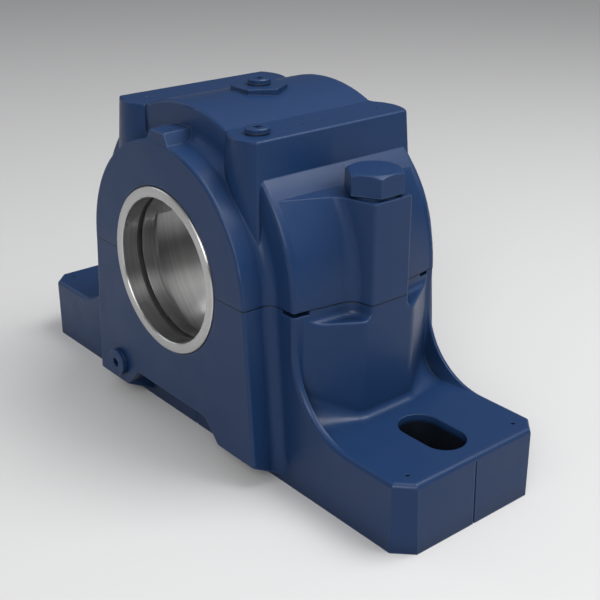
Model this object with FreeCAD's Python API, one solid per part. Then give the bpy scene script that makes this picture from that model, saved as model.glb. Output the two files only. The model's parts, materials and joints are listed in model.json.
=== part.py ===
import FreeCAD, Part
import math
import os
from FreeCAD import Vector

# Split plummer block housing for a bearing of 180 mm outside diameter on a 90 mm shaft.
# Millimetres. X runs along the foot, Y along the shaft, Z up.
# The origin is the middle of the bottom face. The shaft axis runs along Y through x = 0,
# z = centre_height, which is also the height of the joint between base and cap.

# Main sizes
centre_height = 112.0
foot_length = 380.0
body_depth = 110.0
face_distance = 149.0
foot_thickness = 43.3
foot_draft = 1.2
foot_corner = 10.6
foot_edge_radius = 3.0

# Foot slots
slot_centre = 155.0
slot_width = 26.0
slot_length = 44.0

# Bearing chamber, radii about the shaft axis and half lengths along it
seat_radius = 90.0
seat_half_width = 35.0
shoulder_radius = 80.0
chamber_half_width = 44.0
inner_lip_gap = 2.4

# Barrel and its two end extensions
barrel_wall = 9.5
extension_radius = 79.5
extension_foot_half_width = 87.0
extension_blend_radius = 7.0
outer_edge_radius = 2.5
extension_edge_radius = 1.8

# Underside of the end extensions
pad_height = 15.0
pad_slope_drop = 10.3
notch_height = 28.9
notch_top_half_width = 37.5
notch_bottom_half_width = 51.0

# Side walls between the end ribs and the bolt columns
rib_inner = 50.0
rib_sweep_radius = 45.0
rib_sweep_width = 3.5
wall_start = 48.5
wall_flat_half_width = 19.0
wall_corner_radius = 10.0
wall_root_at_start = 18.5
wall_root_at_face = 4.4
column_reach = 18.9
column_half_width = 14.0
column_flank_slope = 0.234
column_edge_radius = 1.6
side_wall_bulge = 6.0
column_blend_radius = 9.0
pocket_depth = 8.0
pocket_root_radius = 4.0
pocket_lip_radius = 1.5

# Cap bolts, size 20, and the seat under their heads
bolt_diameter = 20.0
bolt_across_flats = 30.0
bolt_head_height = 12.5
bolt_washer_face_height = 1.7
bolt_washer_face_diameter = 28.0
bolt_length = 100.0
bolt_inset = 15.9
bolt_hole_clearance = 1.0
bolt_thread_gap = 0.1
bolt_bore_extra_depth = 6.0
bolt_point_chamfer = 2.0
bolt_top_circle = 28.5
bolt_top_chamfer_angle = 30.0
bolt_seat_rise = 59.4
bolt_seat_wall_inset = 20.8
bolt_seat_bulge_radius = 190.0

# Flat lands on the shoulders of the cap, a little under the crest of the barrel
land_drop = 8.5
land_outer = 70.2
land_overhang = 0.5
land_inner = 41.5
land_depth_below = 63.0
land_draft = 3.0
land_nose = 4.6
land_root_inset = 0.5
land_edge_radius = 1.6

# Crown pads on top of the end extensions
crown_rise = 6.3
crown_top_half_width = 6.8
crown_root_half_width = 14.5
crown_root_depth = 8.0
crown_front_inset = 0.3
crown_dimple_inset = 9.5

# Raised boss for the lubrication plug on top of the cap
boss_rise = 2.7
boss_corner_radius = 17.5
boss_edge_radius = 1.5

# Screw plugs with collar: thread diameter, collar diameter, collar height, hexagon, length
small_plug = dict(thread=10.0, collar=14.0, collar_height=3.0, hexagon=5.0, length=9.0)
drain_plug = dict(thread=13.2, collar=18.0, collar_height=3.2, hexagon=6.0, length=12.0)
plug_seal_thickness = 0.8
plug_seal_inset = 0.8
plug_thread_gap = 0.1
plug_socket_depth = 5.0
plug_collar_edge = 0.6
duct_radius = 3.0
side_plug_x = 55.6
side_plug_y = -44.4
drain_plug_x = -59.0
drain_plug_z = 28.9
drain_duct_turn = 20.0
drain_duct_tilt = 20.0
drain_duct_length = 48.0
plug_bore_extra_depth = 2.0

# Witness marks: small drilled dimples
dimple_radius = 1.2
dimple_depth = 2.2
dimple_point = 0.6
foot_dimple_x = 178.0
foot_dimple_y = 42.4
land_dimple_ys = (-12.9, -0.2)

# Centre marks: narrow grooves at the foot ends and sides
centre_groove_width = 1.3
centre_groove_depth = 1.2

# Pry slots at the joint
pry_slot_height = 2.4
pry_slot_reach = 10.5
pry_slot_depth = 4.0
side_slot_start = 41.0
side_slot_length = 7.0

# Hollow under the base
hollow_half_length = 118.0
hollow_half_depth = 38.0
hollow_height = 10.0
hollow_corner = 12.0

# Locating pins
pin_diameter = 8.0
pin_length = 22.0
pin_x = 89.0
pin_y = 46.0
pin_end_chamfer = 1.0
pin_end_gap = 1.0

# Labyrinth rings: the bore takes the shaft, the flange turns in a groove of the housing
shaft_diameter = 90.0
ring_proud = 1.0
ring_wall = 6.6
ring_gap = 0.7
ring_length = 23.5
ring_flange_rise = 9.4
ring_flange_start = 8.0
ring_flange_width = 5.0
ring_flange_side_gap = 0.7
ring_edge_chamfer = 0.6
cord_groove_start = 10.9
cord_section = 4.2
cord_groove_depth = 4.2
cord_inset = 0.15
cord_bevel = 1.05

# Values that follow from the sizes above
half_body = body_depth / 2
half_face = face_distance / 2
half_foot = foot_length / 2
axis_point = Vector(0, 0, centre_height)
axis_direction = Vector(0, 1, 0)
barrel_radius = seat_radius + barrel_wall
pocket_floor = centre_height - pocket_depth
bulge_at_joint = barrel_radius + side_wall_bulge
column_face = barrel_radius + column_reach
bolt_position = column_face - bolt_inset
bulge_at_bolt_seat = column_face - bolt_seat_wall_inset
barrel_crest = centre_height + barrel_radius
bolt_seat_height = centre_height + bolt_seat_rise
land_height = barrel_crest - land_drop
crown_height = centre_height + extension_radius + crown_rise
boss_height = barrel_crest + boss_rise
ring_radius = shaft_diameter / 2 + ring_wall
ring_flange_radius = ring_radius + ring_flange_rise
inner_lip_radius = ring_radius + inner_lip_gap
wall_angle = math.atan2(column_reach, wall_start - wall_flat_half_width)

# Added pieces run into their neighbours by root_depth, cutting tools past a surface by overshoot
root_depth = 10.0
overshoot = 5.0
wall_inner = seat_radius - 2 * root_depth

# Edges to be rounded are found by their place: touching it, or within a margin of it
touching = 1e-3
pick_margin = 0.5
upright_lean = 0.2


def outline(start, *steps):
    """Closed wire. A step is a point for a line or a pair (through, end) for an arc."""
    edges = []
    here = start
    for step in steps:
        if isinstance(step, tuple):
            through, end = step
            edges.append(Part.Arc(here, through, end).toShape())
        else:
            end = step
            edges.append(Part.makeLine(here, end))
        here = end
    if here.distanceToPoint(start) > touching:
        edges.append(Part.makeLine(here, start))
    return Part.Wire(edges)


def prism(wire, direction):
    return Part.Face(wire).extrude(direction)


def about_axis(points):
    """Full turned solid about the shaft axis from (y, radius) points."""
    wire = outline(*[Vector(radius, y, centre_height) for y, radius in points])
    return Part.Face(wire).revolve(axis_point, axis_direction, 360)


def mirrored(shape, across_x=False, across_y=False):
    result = shape
    if across_x:
        result = result.mirror(Vector(0, 0, 0), Vector(1, 0, 0))
    if across_y:
        result = result.mirror(Vector(0, 0, 0), Vector(0, 1, 0))
    return result


def four_ways(shape):
    copies = [shape, mirrored(shape, across_x=True)]
    return copies + [mirrored(copy, across_y=True) for copy in copies]


def half_turned(shape):
    return shape.rotated(Vector(0, 0, 0), Vector(0, 0, 1), 180)


def arc_middle(centre, radius, first_angle, last_angle, place):
    """Point half way along an arc, set in space by the function place(a, b)."""
    angle = math.radians((first_angle + last_angle) / 2)
    return place(centre[0] + radius * math.cos(angle), centre[1] + radius * math.sin(angle))


def rounded(shape, radius, pick):
    """Fillet of every edge that pick(edge) accepts."""
    edges = [edge for edge in shape.Edges if pick(edge)]
    return shape.makeFillet(radius, edges)


def is_vertical(edge):
    ends = edge.Vertexes
    if len(ends) < 2:
        return False
    run = ends[1].Point - ends[0].Point
    return math.hypot(run.x, run.y) < upright_lean * abs(run.z)


def plane_y(y):
    return lambda x, z: Vector(x, y, z)


# Base: the foot with its end ribs is one profile along the shaft

def foot_profile(y):
    """Foot, sweep and rib seen along the shaft, at the given y."""
    put = plane_y(y)
    x_tangent = barrel_radius + rib_sweep_radius
    z_tangent = foot_thickness + rib_sweep_radius
    mid_right = arc_middle((x_tangent, z_tangent), rib_sweep_radius, 180, 270, put)
    mid_left = Vector(-mid_right.x, y, mid_right.z)
    return outline(
        put(-half_foot, 0),
        put(half_foot, 0),
        put(half_foot - foot_draft, foot_thickness),
        put(x_tangent, foot_thickness),
        (mid_right, put(barrel_radius, z_tangent)),
        put(barrel_radius, centre_height),
        put(-barrel_radius, centre_height),
        put(-barrel_radius, z_tangent),
        (mid_left, put(-x_tangent, foot_thickness)),
        put(-half_foot + foot_draft, foot_thickness),
    )


def foot_and_ribs():
    solid = prism(foot_profile(-half_body), Vector(0, body_depth, 0))
    corner = prism(
        outline(
            Vector(half_foot + overshoot, half_body - foot_corner - overshoot, -overshoot),
            Vector(half_foot + overshoot, half_body + overshoot, -overshoot),
            Vector(half_foot - foot_corner - overshoot, half_body + overshoot, -overshoot),
        ),
        Vector(0, 0, foot_thickness + 2 * overshoot),
    )
    solid = solid.cut(four_ways(corner))

    def outer_top_edge(edge):
        box = edge.BoundBox
        above_bottom = box.ZMin > foot_thickness - touching
        below_joint = box.ZMin < centre_height - touching
        at_side = box.YMax < -half_body + touching or box.YMin > half_body - touching
        at_corner = abs(box.Center.x) > half_foot - foot_corner - foot_draft - pick_margin
        return above_bottom and below_joint and (at_side or at_corner)

    return rounded(solid, foot_edge_radius, outer_top_edge)


def wall_corner():
    """Rounded corner of the side wall in plan: its axis, its start and its end."""
    run = wall_corner_radius * math.tan(wall_angle / 2)
    sloping = Vector(math.sin(wall_angle), math.cos(wall_angle), 0)
    corner = Vector(column_face, -wall_flat_half_width, 0)
    on_face = corner + Vector(0, run, 0)
    return on_face - Vector(wall_corner_radius, 0, 0), corner - sloping * run, on_face


def wall_core():
    """Front half of the side wall, upright: from the rib slanting out to the flat face."""
    low = Vector(0, 0, foot_thickness - root_depth)
    rib_side = -half_body + rib_sweep_width
    axis, on_slope, on_face = wall_corner()
    turn = Vector(math.cos(wall_angle / 2), -math.sin(wall_angle / 2), 0)
    plan = outline(
        low + Vector(wall_inner, rib_side, 0),
        low + Vector(barrel_radius, rib_side, 0),
        low + Vector(barrel_radius, -wall_start, 0),
        low + on_slope,
        (low + axis + turn * wall_corner_radius, low + on_face),
        low + Vector(column_face, 0, 0),
        low + Vector(wall_inner, 0, 0),
    )
    return prism(plan, Vector(0, 0, centre_height - low.z))


def wall_roots():
    """Concave blend between wall and foot. Its radius falls from the rib to the flat face."""
    low = foot_thickness - root_depth

    def section(x, y, outward, radius):
        def put(across, z):
            return Vector(x, y, z) + outward * across

        centre = (radius, foot_thickness + radius)
        return outline(
            put(-overshoot, low),
            put(radius, low),
            put(radius, foot_thickness),
            (arc_middle(centre, radius, 180, 270, put), put(0, foot_thickness + radius)),
            put(-overshoot, foot_thickness + radius),
        )

    straight = Vector(1, 0, 0)
    slanted = Vector(math.cos(wall_angle), -math.sin(wall_angle), 0)
    axis, on_slope, on_face = wall_corner()
    at_rib = section(barrel_radius, -half_body + rib_sweep_width, straight, rib_sweep_radius)
    at_start = section(barrel_radius, -wall_start, straight, wall_root_at_start)
    at_slope = section(on_slope.x, on_slope.y, slanted, wall_root_at_face)
    at_face = section(on_face.x, on_face.y, straight, wall_root_at_face)
    return [
        Part.makeLoft([at_rib, at_start], True, True),
        Part.makeLoft([at_start, at_slope], True, True),
        Part.Face(at_slope).revolve(axis, Vector(0, 0, 1), math.degrees(wall_angle)),
        prism(at_face, Vector(0, -on_face.y, 0)),
    ]


def joint_pocket():
    """Cutter for the front pocket at the joint, beside the bolt column."""
    wall_slope = side_wall_bulge / (rib_inner - column_half_width)
    # The flank of the column runs back until it meets the bulging wall.
    flank_foot = column_half_width + column_flank_slope * column_reach
    rise = wall_slope * (rib_inner - flank_foot) / (1 - wall_slope * column_flank_slope)
    meet_x = barrel_radius + rise
    meet_y = column_half_width + column_flank_slope * (column_face - meet_x)
    outer = column_face + overshoot
    block = prism(
        outline(
            Vector(barrel_radius, -rib_inner, pocket_floor),
            Vector(meet_x, -meet_y, pocket_floor),
            Vector(outer, -column_half_width + column_flank_slope * overshoot, pocket_floor),
            Vector(outer, -rib_inner, pocket_floor),
        ),
        Vector(0, 0, pocket_depth + overshoot),
    )

    def inner_corner(edge):
        return is_vertical(edge) and abs(edge.BoundBox.Center.x - meet_x) < touching

    def floor_edge(edge):
        box = edge.BoundBox
        inside = box.XMin < outer - touching and box.YMax > -rib_inner + touching
        return inside and box.ZMax < pocket_floor + touching

    return rounded(rounded(block, column_blend_radius, inner_corner), pocket_root_radius, floor_edge)


def side_wall_of_base():
    """Wall of the +X side from rib to rib, with its blended foot, pockets and pocket lips."""
    half = wall_core().fuse(wall_roots()).removeSplitter()
    wall = half.fuse(mirrored(half, across_y=True)).removeSplitter()
    pocket = joint_pocket()
    wall = wall.cut([pocket, mirrored(pocket, across_y=True)])
    corner_start = wall_corner()[1].x

    def pocket_lip(edge):
        box = edge.BoundBox
        if box.ZMin < pocket_floor - touching or box.ZMin > centre_height - touching:
            return False
        middle = edge.valueAt((edge.FirstParameter + edge.LastParameter) / 2)
        slope_x = barrel_radius + (wall_start - abs(middle.y)) * math.tan(wall_angle)
        return middle.x > corner_start or abs(middle.x - slope_x) < touching

    return rounded(wall, pocket_lip_radius, pocket_lip)


def extension_of_base():
    """Front extension under the end dome, wider at the foot, with blended roots."""
    rear = half_body - root_depth

    def section(half_width, z):
        root = half_width + extension_blend_radius
        centre = (root, -half_body - extension_blend_radius)
        middle = arc_middle(centre, extension_blend_radius, 90, 180, lambda a, b: Vector(a, b, z))
        start = Vector(half_width, -half_body - extension_blend_radius, z)
        return outline(
            Vector(-half_width, -half_face, z),
            Vector(half_width, -half_face, z),
            start,
            (middle, Vector(root, -half_body, z)),
            Vector(root, -rear, z),
            Vector(-root, -rear, z),
            Vector(-root, -half_body, z),
            (Vector(-middle.x, middle.y, z), Vector(-half_width, start.y, z)),
        )

    solid = Part.makeLoft(
        [section(extension_foot_half_width, 0), section(extension_radius, centre_height)], True, True
    )

    def front_corner(edge):
        return is_vertical(edge) and edge.BoundBox.YMax < -half_face + pick_margin

    return rounded(solid, extension_edge_radius, front_corner)


def extension_underside():
    """Cut under the front extension: sloped pads and the notch between them."""
    reach = extension_foot_half_width + extension_blend_radius + overshoot
    front = -half_face - overshoot
    slope = pad_slope_drop / (half_face - half_body)
    wedge = prism(
        outline(
            Vector(-reach, front, -overshoot),
            Vector(-reach, -half_body, -overshoot),
            Vector(-reach, -half_body, pad_height - pad_slope_drop),
            Vector(-reach, front, pad_height + slope * overshoot),
        ),
        Vector(2 * reach, 0, 0),
    )
    notch = prism(
        outline(
            Vector(-notch_bottom_half_width, front, -overshoot),
            Vector(notch_bottom_half_width, front, -overshoot),
            Vector(notch_bottom_half_width, front, pad_height),
            Vector(notch_top_half_width, front, notch_height),
            Vector(-notch_top_half_width, front, notch_height),
            Vector(-notch_bottom_half_width, front, pad_height),
        ),
        Vector(0, -half_body - front, 0),
    )
    return wedge.fuse(notch)


def slot_tool():
    straight = slot_length - slot_width
    radius = slot_width / 2
    left = slot_centre - straight / 2
    right = slot_centre + straight / 2
    low = -overshoot
    return prism(
        outline(
            Vector(left, -radius, low),
            Vector(right, -radius, low),
            (Vector(right + radius, 0, low), Vector(right, radius, low)),
            Vector(left, radius, low),
            (Vector(left - radius, 0, low), Vector(left, -radius, low)),
        ),
        Vector(0, 0, foot_thickness + 2 * overshoot),
    )


def dimple(place):
    """Drilled mark from above, with the point that the drill leaves."""
    down = Vector(0, 0, -1)
    hole = Part.makeCylinder(dimple_radius, dimple_depth, place, down)
    return hole.fuse(Part.makeCone(dimple_radius, 0, dimple_point, place + down * dimple_depth, down))


def bearing_chamber():
    """Everything that is bored out of both halves around the shaft axis."""
    groove_outer = half_face - (ring_flange_start - ring_proud) + ring_flange_side_gap
    groove_inner = groove_outer - ring_flange_width - 2 * ring_flange_side_gap
    lip = ring_radius + ring_gap
    side = [
        (half_face + overshoot, lip),
        (groove_outer, lip),
        (groove_outer, ring_flange_radius + ring_gap),
        (groove_inner, ring_flange_radius + ring_gap),
        (groove_inner, inner_lip_radius),
        (chamber_half_width, inner_lip_radius),
        (chamber_half_width, shoulder_radius),
        (seat_half_width, shoulder_radius),
        (seat_half_width, seat_radius),
    ]
    front = [(-y, radius) for y, radius in side]
    points = [(-half_face - overshoot, 0)] + front + side[::-1] + [(half_face + overshoot, 0)]
    return about_axis(points)


def bolt_bores(first_side):
    """Clearance through the cap and threaded bore in the base for one cap bolt."""
    x = first_side * bolt_position
    clear = Part.makeCylinder(
        (bolt_diameter + bolt_hole_clearance) / 2,
        bolt_seat_rise + overshoot,
        Vector(x, 0, centre_height),
    )
    depth = bolt_length - bolt_seat_rise + bolt_bore_extra_depth
    thread = Part.makeCylinder(
        bolt_diameter / 2 + bolt_thread_gap / 2,
        depth,
        Vector(x, 0, centre_height - depth),
    )
    return clear.fuse(thread)


def pin_places():
    return [Vector(pin_x, pin_y, centre_height), Vector(-pin_x, -pin_y, centre_height)]


def pin_bore(place):
    half = pin_length / 2 + pin_end_gap
    return Part.makeCylinder(pin_diameter / 2, 2 * half, place - Vector(0, 0, half))


def base_pry_slots():
    """Angled slot round the front right corner and a straight one near the back."""
    bottom = centre_height - pry_slot_height
    inner_x = barrel_radius - pry_slot_reach
    corner = Part.makeBox(
        pry_slot_reach + overshoot,
        pry_slot_reach,
        pry_slot_height,
        Vector(inner_x, -half_body, bottom),
    )
    keep = Part.makeBox(
        pry_slot_reach - pry_slot_depth,
        pry_slot_reach - pry_slot_depth,
        pry_slot_height,
        Vector(inner_x, -half_body + pry_slot_depth, bottom),
    )
    side = Part.makeBox(
        pry_slot_depth + overshoot,
        side_slot_length,
        pry_slot_height,
        Vector(barrel_radius - pry_slot_depth, side_slot_start, bottom),
    )
    return [corner.cut(keep), side]


def underside_hollow():
    block = Part.makeBox(
        2 * hollow_half_length,
        2 * hollow_half_depth,
        hollow_height + overshoot,
        Vector(-hollow_half_length, -hollow_half_depth, -overshoot),
    )
    return rounded(block, hollow_corner, is_vertical)


def centre_grooves():
    half_width = centre_groove_width / 2
    at_end = Part.makeBox(
        centre_groove_depth + overshoot,
        centre_groove_width,
        foot_thickness - foot_edge_radius + overshoot,
        Vector(half_foot - foot_draft / 2 - centre_groove_depth, -half_width, -overshoot),
    )
    at_side = Part.makeBox(
        centre_groove_width,
        centre_groove_depth,
        notch_height + overshoot,
        Vector(-half_width, -half_body, -overshoot),
    )
    return [at_end, mirrored(at_end, across_x=True), at_side, mirrored(at_side, across_y=True)]


def drain_bore():
    """Threaded bore behind the drain plug with a duct into the chamber."""
    depth = drain_plug["length"] + plug_bore_extra_depth
    thread = Part.makeCylinder(
        drain_plug["thread"] / 2 + plug_thread_gap / 2,
        depth,
        Vector(drain_plug_x, -half_face, drain_plug_z),
        axis_direction,
    )
    turn = math.radians(drain_duct_turn)
    tilt = math.radians(drain_duct_tilt)
    duct = Part.makeCylinder(
        duct_radius,
        drain_duct_length,
        Vector(drain_plug_x, -half_face + drain_plug["length"], drain_plug_z),
        Vector(math.sin(turn) * math.cos(tilt), math.cos(turn) * math.cos(tilt), math.sin(tilt)),
    )
    return thread.fuse(duct)


def make_base():
    solid = foot_and_ribs()
    rib_side = half_body - rib_sweep_width
    window = Part.makeBox(
        half_foot,
        2 * rib_side,
        centre_height,
        Vector(seat_radius, -rib_side, foot_thickness),
    )
    solid = solid.cut([window, mirrored(window, across_x=True)])
    wall = side_wall_of_base()
    extension = extension_of_base()
    additions = [wall, mirrored(wall, across_x=True), extension, mirrored(extension, across_y=True)]
    solid = solid.fuse(additions).removeSplitter()
    under = extension_underside()
    drain = drain_bore()
    cuts = [under, mirrored(under, across_y=True), drain, half_turned(drain)]
    cuts += [slot_tool(), mirrored(slot_tool(), across_x=True), bearing_chamber(), underside_hollow()]
    cuts += [bolt_bores(1), bolt_bores(-1)]
    cuts += [pin_bore(place) for place in pin_places()]
    cuts += base_pry_slots()
    cuts += [half_turned(slot) for slot in base_pry_slots()]
    cuts += centre_grooves()
    cuts += four_ways(dimple(Vector(foot_dimple_x, foot_dimple_y, foot_thickness)))
    return solid.cut(cuts)


# Cap: a turned half barrel with extensions, lands, columns, crown pads and a boss

def cap_shell():
    """Half barrel with its two extensions, solid, with rounded and blended edges."""
    back = [
        (half_body, barrel_radius),
        (half_body, extension_radius),
        (half_face, extension_radius),
        (half_face, 0),
    ]
    points = [(-y, radius) for y, radius in back[::-1]] + back
    wire = outline(*[Vector(radius, y, centre_height) for y, radius in points])
    shell = Part.Face(wire).revolve(axis_point, -axis_direction, 180)

    def arches(y, radius):
        def pick(edge):
            box = edge.BoundBox
            in_plane = box.YLength < touching and abs(abs(box.Center.y) - y) < touching
            return in_plane and abs(box.ZLength - radius) < touching and box.XLength > radius
        return pick

    shell = rounded(shell, outer_edge_radius, arches(half_body, barrel_radius))
    shell = rounded(shell, extension_blend_radius, arches(half_body, extension_radius))
    return rounded(shell, extension_edge_radius, arches(half_face, extension_radius))


def cap_side_wall():
    """Bulging wall from the rib to the bolt column, ruled between two arcs."""
    def section(y, low, high, radius):
        put = plane_y(y)
        # Arc through both ends with the given radius, bulging outwards.
        middle = Vector((low + high) / 2, y, centre_height + bolt_seat_rise / 2)
        chord = math.hypot(low - high, bolt_seat_rise)
        sagitta = radius - math.sqrt(radius ** 2 - chord ** 2 / 4)
        normal = Vector(bolt_seat_rise, 0, low - high).normalize()
        return outline(
            put(wall_inner, centre_height),
            put(low, centre_height),
            (middle + normal * sagitta, put(high, bolt_seat_height)),
            put(wall_inner, bolt_seat_height),
        )

    barrel_top = math.sqrt(barrel_radius ** 2 - bolt_seat_rise ** 2)
    at_rib = section(-rib_inner, barrel_radius, barrel_top, barrel_radius)
    at_column = section(-column_half_width, bulge_at_joint, bulge_at_bolt_seat, bolt_seat_bulge_radius)
    wall = Part.makeLoft([at_rib, at_column], True, True)
    core = prism(at_column, Vector(0, 2 * column_half_width, 0))
    return wall, core


def cap_column():
    flank_y = column_half_width + column_flank_slope * (column_face - wall_inner)
    return prism(
        outline(
            Vector(wall_inner, -flank_y, centre_height),
            Vector(column_face, -column_half_width, centre_height),
            Vector(column_face, column_half_width, centre_height),
            Vector(wall_inner, flank_y, centre_height),
        ),
        Vector(0, 0, bolt_seat_rise),
    )


def cap_side():
    """Both walls and the column of one side as one solid, with blended flanks."""
    wall, core = cap_side_wall()
    solid = core.fuse([wall, mirrored(wall, across_y=True), cap_column()]).removeSplitter()

    def blended(edge):
        box = edge.BoundBox
        full_height = box.ZLength > bolt_seat_rise - pick_margin
        beside = column_half_width + pick_margin < abs(box.Center.y) < rib_inner - pick_margin
        return full_height and beside and box.XMin > wall_inner + pick_margin

    solid = rounded(solid, column_blend_radius, blended)

    def column_corner(edge):
        return is_vertical(edge) and edge.BoundBox.XMin > column_face - pick_margin

    return rounded(solid, column_edge_radius, column_corner)


def land():
    """Flat land with drafted sides and bowed ends, for the +X shoulder."""
    def section(z, grow):
        inner = land_inner - grow
        outer = land_outer + grow
        end = half_body + land_overhang + grow
        middle = (land_inner + land_outer) / 2
        return outline(
            Vector(inner, -end, z),
            (Vector(middle, -end - land_nose, z), Vector(outer, -end, z)),
            Vector(outer, end, z),
            (Vector(middle, end + land_nose, z), Vector(inner, end, z)),
        )

    growth = land_depth_below * math.tan(math.radians(land_draft))
    solid = Part.makeLoft(
        [section(land_height, 0), section(land_height - land_depth_below, growth)], True, True
    )

    def upright_outer(edge):
        return is_vertical(edge) and edge.BoundBox.XMin > land_outer - pick_margin

    def top_outer(edge):
        box = edge.BoundBox
        return box.ZMin > land_height - touching and box.XMax > land_inner + pick_margin

    solid = rounded(solid, land_edge_radius, upright_outer)
    solid = rounded(solid, land_edge_radius, top_outer)
    # The land runs on inwards until the barrel rises out of it.
    rise = land_height - centre_height
    barrel_meets = math.sqrt(barrel_radius ** 2 - rise ** 2)
    half_depth = half_body - land_root_inset
    root = Part.makeBox(
        land_inner - barrel_meets + 2 * root_depth,
        2 * half_depth,
        land_depth_below,
        Vector(barrel_meets - root_depth, -half_depth, land_height - land_depth_below),
    )
    return solid, root


def crown_pad():
    start = centre_height + extension_radius - crown_root_depth
    front = -half_face + crown_front_inset
    solid = prism(
        outline(
            Vector(-crown_root_half_width, front, start),
            Vector(crown_root_half_width, front, start),
            Vector(crown_top_half_width, front, crown_height),
            Vector(-crown_top_half_width, front, crown_height),
        ),
        Vector(0, half_face - half_body + root_depth, 0),
    )

    def top_front(edge):
        box = edge.BoundBox
        return box.ZMin > crown_height - touching and box.YMax < -half_face + pick_margin

    return rounded(solid, extension_edge_radius, top_front)


def top_boss():
    corners = []
    for step in range(6):
        angle = math.radians(60 * step)
        x = boss_corner_radius * math.cos(angle)
        y = boss_corner_radius * math.sin(angle)
        corners.append(Vector(x, y, barrel_crest - root_depth))
    height = boss_height - corners[0].z
    return rounded(prism(outline(*corners), Vector(0, 0, height)), boss_edge_radius, is_vertical)


def plug_bore(plug, place):
    thread_depth = plug["length"] + plug_bore_extra_depth
    thread = Part.makeCylinder(
        plug["thread"] / 2 + plug_thread_gap / 2,
        thread_depth,
        place - Vector(0, 0, thread_depth),
    )
    duct_depth = place.z - centre_height
    duct = Part.makeCylinder(duct_radius, duct_depth, place - Vector(0, 0, duct_depth))
    return thread.fuse(duct)


def top_plug_place():
    return Vector(0, 0, boss_height)


def side_plug_place():
    return Vector(side_plug_x, side_plug_y, land_height)


def make_cap():
    side = cap_side()
    pad = crown_pad()
    shoulder, root = land()
    additions = [side, mirrored(side, across_x=True), pad, mirrored(pad, across_y=True)]
    additions += [shoulder, mirrored(shoulder, across_x=True), top_boss()]
    additions += [root, mirrored(root, across_x=True)]
    solid = cap_shell().fuse(additions).removeSplitter()
    cuts = [bearing_chamber(), bolt_bores(1), bolt_bores(-1)]
    cuts += [pin_bore(place) for place in pin_places()]
    cuts += [plug_bore(small_plug, top_plug_place()), plug_bore(small_plug, side_plug_place())]
    marks = [Vector(-side_plug_x, side_plug_y, land_height)]
    marks += [Vector(side, -side_plug_y, land_height) for side in (-side_plug_x, side_plug_x)]
    marks += [Vector(side_plug_x, y, land_height) for y in land_dimple_ys]
    crown_y = half_face - crown_dimple_inset
    marks += [Vector(0, y, crown_height) for y in (-crown_y, crown_y)]
    cuts += [dimple(place) for place in marks]
    return solid.cut(cuts)


# Fasteners and inserts

def hexagon(across_flats, place, height):
    radius = across_flats / math.sqrt(3)
    corners = []
    for step in range(6):
        angle = math.radians(60 * step + 30)
        corners.append(place + Vector(radius * math.cos(angle), radius * math.sin(angle), 0))
    return prism(outline(*corners), Vector(0, 0, height))


def cap_bolt(first_side):
    """Hexagon head bolt with a washer face, a chamfered head and a chamfered point."""
    seat = Vector(first_side * bolt_position, 0, bolt_seat_height)
    under = seat + Vector(0, 0, bolt_washer_face_height)
    head = hexagon(bolt_across_flats, under, bolt_head_height)
    top = under.z + bolt_head_height
    reach = bolt_across_flats / math.sqrt(3) + overshoot
    drop = (reach - bolt_top_circle / 2) * math.tan(math.radians(bolt_top_chamfer_angle))
    dome = Part.Face(
        outline(
            Vector(seat.x, 0, under.z),
            Vector(seat.x + reach, 0, under.z),
            Vector(seat.x + reach, 0, top - drop),
            Vector(seat.x + bolt_top_circle / 2, 0, top),
            Vector(seat.x, 0, top),
        )
    ).revolve(Vector(seat.x, 0, 0), Vector(0, 0, 1), 360)
    head = head.common(dome)
    face = Part.makeCylinder(bolt_washer_face_diameter / 2, bolt_washer_face_height, seat)
    shank = Part.makeCylinder(
        bolt_diameter / 2, bolt_length, seat - Vector(0, 0, bolt_length)
    )
    point = min(shank.Edges, key=lambda edge: edge.BoundBox.ZMax)
    shank = shank.makeChamfer(bolt_point_chamfer, [point])
    return shank.fuse([face, head]).removeSplitter()


def locating_pin(place):
    pin = Part.makeCylinder(pin_diameter / 2, pin_length, place - Vector(0, 0, pin_length / 2))
    ends = [edge for edge in pin.Edges if edge.BoundBox.ZLength < touching]
    return pin.makeChamfer(pin_end_chamfer, ends)


def screw_plug(plug):
    """Collar plug along +Z with its seal face at z = 0, before it is set in place."""
    lift = plug_seal_thickness
    collar = Part.makeCylinder(plug["collar"] / 2, plug["collar_height"], Vector(0, 0, lift))
    rim = max(collar.Edges, key=lambda edge: edge.BoundBox.ZMin)
    collar = collar.makeChamfer(plug_collar_edge, [rim])
    thread = Part.makeCylinder(
        plug["thread"] / 2, plug["length"] + lift, Vector(0, 0, -plug["length"])
    )
    top = lift + plug["collar_height"]
    bottom = Vector(0, 0, top - plug_socket_depth)
    socket = hexagon(plug["hexagon"], bottom, plug_socket_depth + overshoot)
    return collar.fuse(thread).cut(socket).removeSplitter()


def plug_seal(plug):
    outer = Part.makeCylinder(plug["collar"] / 2 - plug_seal_inset, plug_seal_thickness)
    return outer.cut(Part.makeCylinder(plug["thread"] / 2, plug_seal_thickness))


def standing(shape, place):
    return shape.translated(place)


def facing_front(shape, place):
    """Turn a shape made along +Z so that it faces -Y, and set it in place."""
    return shape.rotated(Vector(0, 0, 0), Vector(1, 0, 0), 90).translated(place)


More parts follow.
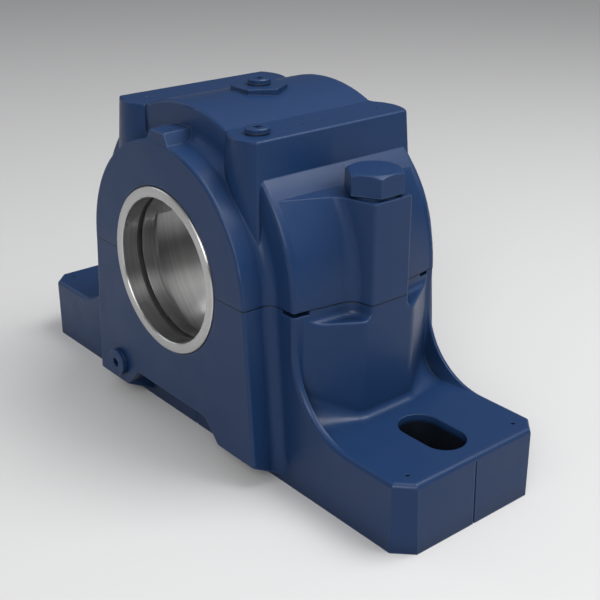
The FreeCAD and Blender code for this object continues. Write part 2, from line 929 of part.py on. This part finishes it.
def labyrinth_ring():
    """Front ring: turned profile with flange and a bore groove for the cord."""
    outer_face = -half_face - ring_proud
    inner_face = outer_face + ring_length
    flange_start = outer_face + ring_flange_start
    flange_end = flange_start + ring_flange_width
    bore = shaft_diameter / 2
    groove_start = outer_face + cord_groove_start
    groove_end = groove_start + cord_section
    chamfer = ring_edge_chamfer
    return about_axis([
        (outer_face, bore + chamfer),
        (outer_face, ring_radius - chamfer),
        (outer_face + chamfer, ring_radius),
        (flange_start, ring_radius),
        (flange_start, ring_flange_radius),
        (flange_end, ring_flange_radius),
        (flange_end, ring_radius),
        (inner_face, ring_radius),
        (inner_face, bore + chamfer),
        (inner_face - chamfer, bore),
        (groove_end, bore),
        (groove_end, bore + cord_groove_depth),
        (groove_start, bore + cord_groove_depth),
        (groove_start, bore),
        (outer_face + chamfer, bore),
    ])


def ring_cord():
    """Front sealing cord of rubber with bevelled edges, lying in the ring's groove."""
    bore = shaft_diameter / 2
    start = -half_face - ring_proud + cord_groove_start
    end = start + cord_section
    low = bore + cord_inset
    high = bore + cord_groove_depth
    bevel = cord_bevel
    return about_axis([
        (start, low + bevel),
        (start, high - bevel),
        (start + bevel, high),
        (end - bevel, high),
        (end, high - bevel),
        (end, low + bevel),
        (end - bevel, low),
        (start + bevel, low),
    ])


def make_parts():
    parts = {"base": make_base(), "cap": make_cap()}
    parts["cap_bolt_right"] = cap_bolt(1)
    parts["cap_bolt_left"] = cap_bolt(-1)
    for name, place in zip(("locating_pin_right", "locating_pin_left"), pin_places()):
        parts[name] = locating_pin(place)
    parts["top_plug"] = standing(screw_plug(small_plug), top_plug_place())
    parts["top_plug_seal"] = standing(plug_seal(small_plug), top_plug_place())
    parts["side_plug"] = standing(screw_plug(small_plug), side_plug_place())
    parts["side_plug_seal"] = standing(plug_seal(small_plug), side_plug_place())
    drain_place = Vector(drain_plug_x, -half_face, drain_plug_z)
    parts["drain_plug_front"] = facing_front(screw_plug(drain_plug), drain_place)
    parts["drain_plug_front_seal"] = facing_front(plug_seal(drain_plug), drain_place)
    parts["drain_plug_back"] = half_turned(parts["drain_plug_front"])
    parts["drain_plug_back_seal"] = half_turned(parts["drain_plug_front_seal"])
    parts["labyrinth_ring_front"] = labyrinth_ring()
    parts["labyrinth_ring_back"] = mirrored(labyrinth_ring(), across_y=True)
    parts["ring_cord_front"] = ring_cord()
    parts["ring_cord_back"] = mirrored(ring_cord(), across_y=True)
    return parts


os.makedirs("parts", exist_ok=True)
for name, shape in make_parts().items():
    shape.exportStep("parts/" + name + ".step")
    print(name, len(shape.Solids), round(shape.Volume), shape.isValid())
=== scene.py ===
import json
import math
import bpy
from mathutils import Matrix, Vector


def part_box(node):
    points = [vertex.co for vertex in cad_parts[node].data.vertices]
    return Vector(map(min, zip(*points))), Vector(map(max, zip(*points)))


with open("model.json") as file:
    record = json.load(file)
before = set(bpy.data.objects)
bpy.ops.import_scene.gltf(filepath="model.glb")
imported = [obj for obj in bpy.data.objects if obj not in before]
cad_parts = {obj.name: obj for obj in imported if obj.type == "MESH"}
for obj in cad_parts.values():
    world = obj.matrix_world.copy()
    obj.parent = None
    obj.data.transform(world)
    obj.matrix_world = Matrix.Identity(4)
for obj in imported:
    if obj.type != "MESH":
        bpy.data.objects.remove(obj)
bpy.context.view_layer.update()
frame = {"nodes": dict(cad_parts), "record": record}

# Look of the split plummer block: satin dark blue paint over cast iron, fine turned steel
# inside the bore, black rubber cords, on a pale floor under soft studio light.
# Metres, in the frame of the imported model: X along the foot, Y along the shaft, Z up.

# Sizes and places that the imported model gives
MILLIMETRE = 0.001
MOUNTS = {mount["name"]: mount for mount in frame["record"]["mounts"]}
SLOT = MOUNTS["foot_slots"]["dims"]
SLOT_CENTRE = SLOT["spacing_x_mm"] / 2 * MILLIMETRE
SLOT_HALF_LENGTH = SLOT["slot_length_mm"] / 2 * MILLIMETRE
SLOT_HALF_WIDTH = SLOT["hole_r_mm"] * MILLIMETRE
SEAT_RADIUS = MOUNTS["bearing_seat"]["dims"]["r_mm"] * MILLIMETRE
AXIS_HEIGHT = MOUNTS["shaft_bore"]["pos_m"][2]
JOINT_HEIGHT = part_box("base")[1].z
END_FACE_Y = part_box("base")[1].y
RING_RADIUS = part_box("labyrinth_ring_front")[1].x

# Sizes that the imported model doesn't state
CHAMBER_HALF_LENGTH = 0.0440
FOOT_THICKNESS = 0.0433

# Margins that take in each machined face and slot wall, and keep the end faces out
CHAMBER_MARGIN = 0.0005
THROAT_MARGIN = 0.0010
END_FACE_MARGIN = 0.0002
SLOT_MARGIN = 0.0006

# Paint
PAINT = (0.0110, 0.0345, 0.1020)
PAINT_LIGHT = (0.0260, 0.0640, 0.1650)
PAINT_DARK = (0.0085, 0.0280, 0.0860)
# Painted shade: darker colour mixed in deep in corners and creases
PAINT_CREASE_SHADE = (0.0030, 0.0090, 0.0260)
# Painted highlight: lighter colour mixed in on outer edges
PAINT_RIDGE_HIGHLIGHT = (0.0480, 0.0950, 0.2050)
DRIFT_SHARE = 0.45
SPECK_SHARE = 0.10
CREASE_SHADE_REACH = 0.026
CREASE_SHADE_SHARE = 0.75
RIDGE_HIGHLIGHT_REACH = 0.0012
RIDGE_HIGHLIGHT_SHARE = 0.55
PAINT_ROUGHNESS = (0.31, 0.39)
PAINT_SPECULAR = 0.25
CASTING_EDGE = 0.0010
FASTENER_EDGE = 0.0004

# Dark line of the joint, and painted shade on the walls of the slots below the foot's top edge
JOINT_SHADOW = (0.002, 0.003, 0.006)
JOINT_LINE_SHARE = 0.92
JOINT_LINE_FADE = (0.00018, 0.00052)
RIDGE_HIGHLIGHT_BACK_FROM_JOINT = (0.0015, 0.0030)
# Painted shade: near black on the slot walls below the foot's top edge
SLOT_SHADE = (0.0050, 0.0075, 0.0120)
SLOT_SHADE_START_DEPTH = 0.002
SLOT_SHADE_FULL_DEPTH = 0.006

# Most values of a noise lie in this span.
NOISE_SPAN = (0.3, 0.7)

# Steel and rubber
STEEL = (0.60, 0.60, 0.595)
PIN_STEEL = (0.5, 0.5, 0.5)
STEEL_DARK_SHARE = 0.80
STEEL_EDGE = 0.0003
PIN_EDGE = 0.0002
ANISOTROPY = 0.85
QUARTER_TURN = 0.25
RUBBER = (0.012, 0.012, 0.013)
RUBBER_LIGHT_SHARE = 2.2
RUBBER_ROUGHNESS = (0.55, 0.72)

# Floor and sky
FLOOR = (0.60, 0.60, 0.60)
FLOOR_BOUNCE = (0.25, 0.25, 0.25)
FLOOR_HALF_SIDE = 30.0
SKY_LOW = (0.09, 0.09, 0.092)
SKY_HIGH = (0.50, 0.505, 0.52)
SKY_RISE = (0.35, 1.0)

# Lamp colours, and the place that most lamps face
WHITE = (1.0, 1.0, 1.0)
WARM_WHITE = (1.0, 0.99, 0.97)
COOL_WHITE = (0.97, 0.98, 1.0)
MIDDLE = (0.0, 0.0, 0.10)

# Camera, worked out from the object's straight edges in the photograph
PHOTO_PIXELS = 600.0
FOCAL_PIXELS = 1099.69
SENSOR_WIDTH = 36.0
CAMERA_PLACE = (0.52156, -0.40157, 0.36128)
CAMERA_AZIMUTH = 50.2646
CAMERA_ELEVATION = 23.7293


class Nodes:
    """Adds nodes to one node tree and links them."""

    def __init__(self, tree):
        self.tree = tree

    def add(self, kind, **settings):
        node = self.tree.nodes.new(kind)
        for key, value in settings.items():
            setattr(node, key, value)
        return node

    def link(self, source, target):
        self.tree.links.new(source, target)

    def feed(self, value, socket):
        """Link a socket to this one, or set a plain value on it."""
        if isinstance(value, bpy.types.NodeSocket):
            self.link(value, socket)
        else:
            socket.default_value = value

    def maths(self, operation, first, second=0.0, clamp=False):
        node = self.add("ShaderNodeMath", operation=operation, use_clamp=clamp)
        self.feed(first, node.inputs[0])
        self.feed(second, node.inputs[1])
        return node.outputs[0]

    def times(self, first, second):
        return self.maths("MULTIPLY", first, second)

    def apart(self, first, second):
        return self.maths("ABSOLUTE", self.maths("SUBTRACT", first, second))

    def rising(self, value, low, high, to_low=0.0, to_high=1.0):
        """Smooth step of value from low..high to to_low..to_high."""
        node = self.add("ShaderNodeMapRange", interpolation_type="SMOOTHSTEP")
        self.feed(value, node.inputs["Value"])
        node.inputs["From Min"].default_value = low
        node.inputs["From Max"].default_value = high
        node.inputs["To Min"].default_value = to_low
        node.inputs["To Max"].default_value = to_high
        return node.outputs["Result"]

    def falling(self, value, low, high):
        """Smooth step down: 1 up to low, 0 from high on."""
        return self.rising(value, low, high, 1.0, 0.0)

    def mix(self, factor, first, second):
        node = self.add("ShaderNodeMix", data_type="RGBA")
        self.feed(factor, node.inputs[0])
        for value, socket in ((first, node.inputs[6]), (second, node.inputs[7])):
            if isinstance(value, tuple):
                value = (*value, 1.0)
            self.feed(value, socket)
        return node.outputs[2]

    def split(self, vector):
        """The X, Y and Z of a vector."""
        node = self.add("ShaderNodeSeparateXYZ")
        self.link(vector, node.inputs[0])
        return node.outputs

    def join(self, x, y, z):
        node = self.add("ShaderNodeCombineXYZ")
        for value, socket in zip((x, y, z), node.inputs):
            self.feed(value, socket)
        return node.outputs[0]


class Surface(Nodes):
    """A new material with one principled shader, and the nodes that feed it."""

    def __init__(self, name):
        self.material = bpy.data.materials.new(name)
        self.material.use_nodes = True
        super().__init__(self.material.node_tree)
        self.tree.nodes.clear()
        output = self.add("ShaderNodeOutputMaterial")
        self.shader = self.add("ShaderNodeBsdfPrincipled")
        self.link(self.shader.outputs["BSDF"], output.inputs["Surface"])

    def give(self, name, value):
        """Set one input of the shader to a plain value, or link it."""
        self.feed(value, self.shader.inputs[name])

    def position(self):
        return self.add("ShaderNodeTexCoord").outputs["Object"]

    def noise(self, vector, scale, detail=2.0, roughness=0.5):
        node = self.add("ShaderNodeTexNoise")
        node.inputs["Scale"].default_value = scale
        node.inputs["Detail"].default_value = detail
        node.inputs["Roughness"].default_value = roughness
        self.link(vector, node.inputs["Vector"])
        return node.outputs["Fac"]

    def soft_edges(self, radius):
        node = self.add("ShaderNodeBevel", samples=6)
        node.inputs["Radius"].default_value = radius
        return node.outputs["Normal"]

    def bump(self, height, strength, depth, normal=None):
        node = self.add("ShaderNodeBump")
        node.inputs["Strength"].default_value = strength
        node.inputs["Distance"].default_value = depth
        self.link(height, node.inputs["Height"])
        if normal is not None:
            self.link(normal, node.inputs["Normal"])
        return node.outputs["Normal"]

    def open_space(self, reach, **settings):
        """Share of open space within reach of the surface, outside it or, if set so, inside."""
        node = self.add("ShaderNodeAmbientOcclusion", samples=8, **settings)
        node.inputs["Distance"].default_value = reach
        return node.outputs["AO"]

    def crease_shade_mask(self, reach):
        """1 deep in a corner or a groove, 0 on open faces: where painted shade goes."""
        return self.falling(self.open_space(reach), low=0.25, high=0.80)

    def ridge_highlight_mask(self, reach):
        """1 on outer edges and corners, 0 on level tops, flat faces and in hollows: where painted
        highlight goes.
        """
        inside = self.open_space(reach, inside=True, only_local=True)
        normal = self.add("ShaderNodeNewGeometry").outputs["Normal"]
        not_level = self.falling(self.split(normal)["Z"], low=0.90, high=0.98)
        return self.times(not_level, self.falling(inside, low=0.55, high=0.95))


def slot_shade_mask(nodes, place):
    """1 on the walls of the two foot slots, below the foot's top edge, where shade is painted in."""
    from_centre = nodes.apart(nodes.maths("ABSOLUTE", place["X"]), SLOT_CENTRE)
    along = nodes.maths("LESS_THAN", from_centre, SLOT_HALF_LENGTH + SLOT_MARGIN)
    from_middle = nodes.maths("ABSOLUTE", place["Y"])
    across = nodes.maths("LESS_THAN", from_middle, SLOT_HALF_WIDTH + SLOT_MARGIN)
    fully_shaded_height = FOOT_THICKNESS - SLOT_SHADE_FULL_DEPTH
    unshaded_height = FOOT_THICKNESS - SLOT_SHADE_START_DEPTH
    return nodes.times(nodes.times(along, across), nodes.falling(place["Z"], fully_shaded_height, unshaded_height))


def paint_material(name, edge_radius, on_casting):
    """Satin sprayed paint: slight tone drift, painted shade in creases, painted highlights on outer
    edges and a fine skin.
    """
    nodes = Surface(name)
    position = nodes.position()
    soft = nodes.soft_edges(edge_radius)
    drift = nodes.rising(nodes.noise(position, scale=9.0, detail=3.0), low=0.32, high=0.68)
    speck = nodes.rising(nodes.noise(position, scale=900.0), low=0.35, high=0.65)
    colour = nodes.mix(nodes.times(drift, DRIFT_SHARE), PAINT, PAINT_DARK)
    colour = nodes.mix(nodes.times(speck, SPECK_SHARE), colour, PAINT_LIGHT)
    # Painted shade, darker deep in corners and creases
    crease_shade = nodes.times(nodes.crease_shade_mask(CREASE_SHADE_REACH), CREASE_SHADE_SHARE)
    colour = nodes.mix(crease_shade, colour, PAINT_CREASE_SHADE)
    # Painted highlight, lighter on outer edges and kept back from the joint line
    ridge_highlight = nodes.times(nodes.ridge_highlight_mask(RIDGE_HIGHLIGHT_REACH), RIDGE_HIGHLIGHT_SHARE)
    if on_casting:
        place = nodes.split(position)
        from_joint = nodes.apart(place["Z"], JOINT_HEIGHT)
        ridge_highlight = nodes.times(ridge_highlight, nodes.rising(from_joint, *RIDGE_HIGHLIGHT_BACK_FROM_JOINT))
    colour = nodes.mix(ridge_highlight, colour, PAINT_RIDGE_HIGHLIGHT)
    if on_casting:
        line = nodes.times(nodes.falling(from_joint, *JOINT_LINE_FADE), JOINT_LINE_SHARE)
        colour = nodes.mix(line, colour, JOINT_SHADOW)
        # Painted shade on the walls of the foot slots
        colour = nodes.mix(slot_shade_mask(nodes, place), colour, SLOT_SHADE)
    nodes.give("Base Color", colour)
    sheen = nodes.noise(position, scale=60.0, detail=3.0)
    nodes.give("Roughness", nodes.rising(sheen, *NOISE_SPAN, *PAINT_ROUGHNESS))
    nodes.give("Specular IOR Level", PAINT_SPECULAR)
    cast = nodes.bump(nodes.noise(position, scale=75.0), strength=0.10, depth=0.0006, normal=soft)
    skin = nodes.noise(position, scale=1300.0)
    nodes.give("Normal", nodes.bump(skin, strength=0.10, depth=0.00006, normal=cast))
    return nodes.material


def turned_material(name, colour, edge_radius, metal, roughness):
    """Fine turned steel: lines run round the shaft axis on faces and in the bores."""
    nodes = Surface(name)
    position = nodes.position()
    place = nodes.split(position)
    height = nodes.maths("SUBTRACT", place["Z"], AXIS_HEIGHT)
    square = nodes.maths("ADD", nodes.times(place["X"], place["X"]), nodes.times(height, height))
    lay = nodes.join(nodes.maths("SQRT", square), place["Y"], 0.0)
    fine = nodes.noise(lay, scale=4200.0, detail=3.0, roughness=0.6)
    broad = nodes.noise(lay, scale=520.0)
    drift = nodes.noise(position, scale=35.0, detail=1.0)
    soft = nodes.soft_edges(edge_radius)
    tone = nodes.maths("ADD", nodes.times(fine, 0.5), nodes.times(broad, 0.5))
    tone = nodes.rising(tone, low=0.35, high=0.65)
    nodes.give("Base Color", nodes.mix(tone, toned(colour, STEEL_DARK_SHARE), colour))
    nodes.give("Metallic", metal)
    nodes.give("Roughness", nodes.rising(drift, *NOISE_SPAN, *roughness))
    # The tangent runs round the shaft axis, and the highlight is stretched across the lines.
    round_axis = nodes.join(height, 0.0, nodes.times(place["X"], -1.0))
    to_world = nodes.add("ShaderNodeVectorTransform", vector_type="VECTOR")
    to_world.convert_from = "OBJECT"
    to_world.convert_to = "WORLD"
    nodes.link(round_axis, to_world.inputs[0])
    nodes.give("Tangent", to_world.outputs[0])
    nodes.give("Anisotropic", ANISOTROPY)
    nodes.give("Anisotropic Rotation", QUARTER_TURN)
    lines = nodes.bump(fine, strength=0.18, depth=0.00004, normal=soft)
    nodes.give("Normal", nodes.bump(broad, strength=0.10, depth=0.00008, normal=lines))
    return nodes.material


def rubber_material(name):
    """Matt black rubber, slightly lighter in patches."""
    nodes = Surface(name)
    position = nodes.position()
    tone = nodes.rising(nodes.noise(position, scale=260.0, detail=3.0), *NOISE_SPAN)
    nodes.give("Base Color", nodes.mix(tone, RUBBER, toned(RUBBER, RUBBER_LIGHT_SHARE)))
    nodes.give("Roughness", nodes.rising(tone, 0.0, 1.0, *RUBBER_ROUGHNESS))
    skin = nodes.noise(position, scale=1800.0)
    nodes.give("Normal", nodes.bump(skin, strength=0.25, depth=0.00008))
    return nodes.material


def floor_material():
    nodes = Surface("floor_plain")
    nodes.give("Base Color", nodes.mix(seen_directly(nodes), FLOOR_BOUNCE, FLOOR))
    nodes.give("Roughness", 1.0)
    nodes.give("Specular IOR Level", 0.0)
    return nodes.material


def toned(colour, share):
    return tuple(channel * share for channel in colour)


def seen_directly(nodes):
    """1 for camera, mirror and glass rays, 0 for the soft light that a surface throws about."""
    path = nodes.add("ShaderNodeLightPath").outputs
    total = path["Is Camera Ray"]
    for kind in ("Is Glossy Ray", "Is Transmission Ray"):
        total = nodes.maths("ADD", total, path[kind], clamp=True)
    return total


def is_machined(centre):
    """True for a face of the chamber or of the throat that holds a labyrinth ring."""
    radius = math.hypot(centre.x, centre.z - AXIS_HEIGHT)
    along = abs(centre.y)
    in_chamber = radius < SEAT_RADIUS + CHAMBER_MARGIN and along < CHAMBER_HALF_LENGTH + CHAMBER_MARGIN
    in_throat = radius < RING_RADIUS + THROAT_MARGIN and along < END_FACE_Y - END_FACE_MARGIN
    return in_chamber or in_throat


def dress(node, *materials):
    mesh = frame["nodes"][node].data
    mesh.materials.clear()
    for material in materials:
        mesh.materials.append(material)


def dress_casting(node, outside, inside):
    """One material on the rough casting, the other on its machined faces."""
    dress(node, outside, inside)
    for polygon in frame["nodes"][node].data.polygons:
        polygon.material_index = 1 if is_machined(polygon.center) else 0


def add_floor():
    mesh = bpy.data.meshes.new("floor")
    side = FLOOR_HALF_SIDE
    corners = [(-side, -side, 0), (side, -side, 0), (side, side, 0), (-side, side, 0)]
    mesh.from_pydata(corners, [], [(0, 1, 2, 3)])
    floor = bpy.data.objects.new("floor", mesh)
    mesh.materials.append(floor_material())
    bpy.context.scene.collection.objects.link(floor)


def set_world():
    """Grey sky, dim at the horizon and bright overhead."""
    world = bpy.data.worlds.new("studio")
    world.use_nodes = True
    nodes = Nodes(world.node_tree)
    height = nodes.split(nodes.add("ShaderNodeTexCoord").outputs["Generated"])["Z"]
    colour = nodes.mix(nodes.rising(height, *SKY_RISE), SKY_LOW, SKY_HIGH)
    nodes.link(colour, nodes.tree.nodes["Background"].inputs["Color"])
    bpy.context.scene.world = world


def facing(direction):
    """Turn of a lamp or camera that looks along direction, with its upper side up."""
    return direction.to_track_quat("-Z", "Y")


def add_light(name, place, size, power, colour=WHITE, target=MIDDLE):
    data = bpy.data.lights.new(name, "AREA")
    data.shape = "RECTANGLE"
    data.size, data.size_y = size
    data.energy = power
    data.color = colour
    lamp = bpy.data.objects.new(name, data)
    lamp.location = place
    lamp.rotation_euler = facing(Vector(target) - Vector(place)).to_euler()
    bpy.context.scene.collection.objects.link(lamp)


def add_camera():
    """Camera at the angle, distance and field of view that the photograph gave."""
    data = bpy.data.cameras.new("camera")
    data.sensor_width = SENSOR_WIDTH
    data.lens = FOCAL_PIXELS / PHOTO_PIXELS * SENSOR_WIDTH
    camera = bpy.data.objects.new("camera", data)
    azimuth, elevation = math.radians(CAMERA_AZIMUTH), math.radians(CAMERA_ELEVATION)
    back = Vector((
        math.sin(azimuth) * math.cos(elevation),
        -math.cos(azimuth) * math.cos(elevation),
        math.sin(elevation),
    ))
    camera.location = CAMERA_PLACE
    camera.rotation_mode = "QUATERNION"
    camera.rotation_quaternion = facing(-back)
    bpy.context.scene.collection.objects.link(camera)
    bpy.context.scene.camera = camera


# Materials, each on the pieces whose slot in the record asks for it
casting_paint = paint_material("paint_casting", CASTING_EDGE, on_casting=True)
fastener_paint = paint_material("paint_fastener", FASTENER_EDGE, on_casting=False)
seat_steel = turned_material("steel_seat", STEEL, STEEL_EDGE, metal=0.90, roughness=(0.28, 0.34))
ring_steel = turned_material("steel_ring", STEEL, STEEL_EDGE, metal=1.0, roughness=(0.26, 0.32))
pin_steel = turned_material("steel_pin", PIN_STEEL, PIN_EDGE, metal=1.0, roughness=(0.25, 0.35))
cord_rubber = rubber_material("rubber_cord")
seal_rubber = rubber_material("rubber_seal")
by_slot = {
    "fastener_paint": fastener_paint,
    "ground_steel": pin_steel,
    "turned_steel": ring_steel,
    "cord_rubber": cord_rubber,
    "seal_rubber": seal_rubber,
}
for part in frame["record"]["subparts"]:
    if part["material_slot"] == "casting_paint":
        dress_casting(part["node"], casting_paint, seat_steel)
    else:
        dress(part["node"], by_slot[part["material_slot"]])

# Floor, light and camera
add_floor()
set_world()
add_light("key", (0.55, -1.35, 1.15), size=(1.1, 1.1), power=5.0, colour=WARM_WHITE)
add_light("left", (-1.30, -0.75, 0.75), size=(0.9, 1.2), power=3.0, colour=COOL_WHITE)
add_light("right", (1.10, 0.20, 0.80), size=(0.7, 0.9), power=1.2)
add_light("corner", (1.35, -1.35, 1.15), size=(1.0, 1.0), power=21.5)
add_light("top", (0.45, 0.40, 1.30), size=(0.8, 0.8), power=14.5, target=(0.05, 0.0, 0.10))
add_light("rim", (0.80, 1.15, 1.10), size=(0.8, 0.8), power=2.2)
add_camera()
bpy.context.scene.view_settings.view_transform = "Standard"
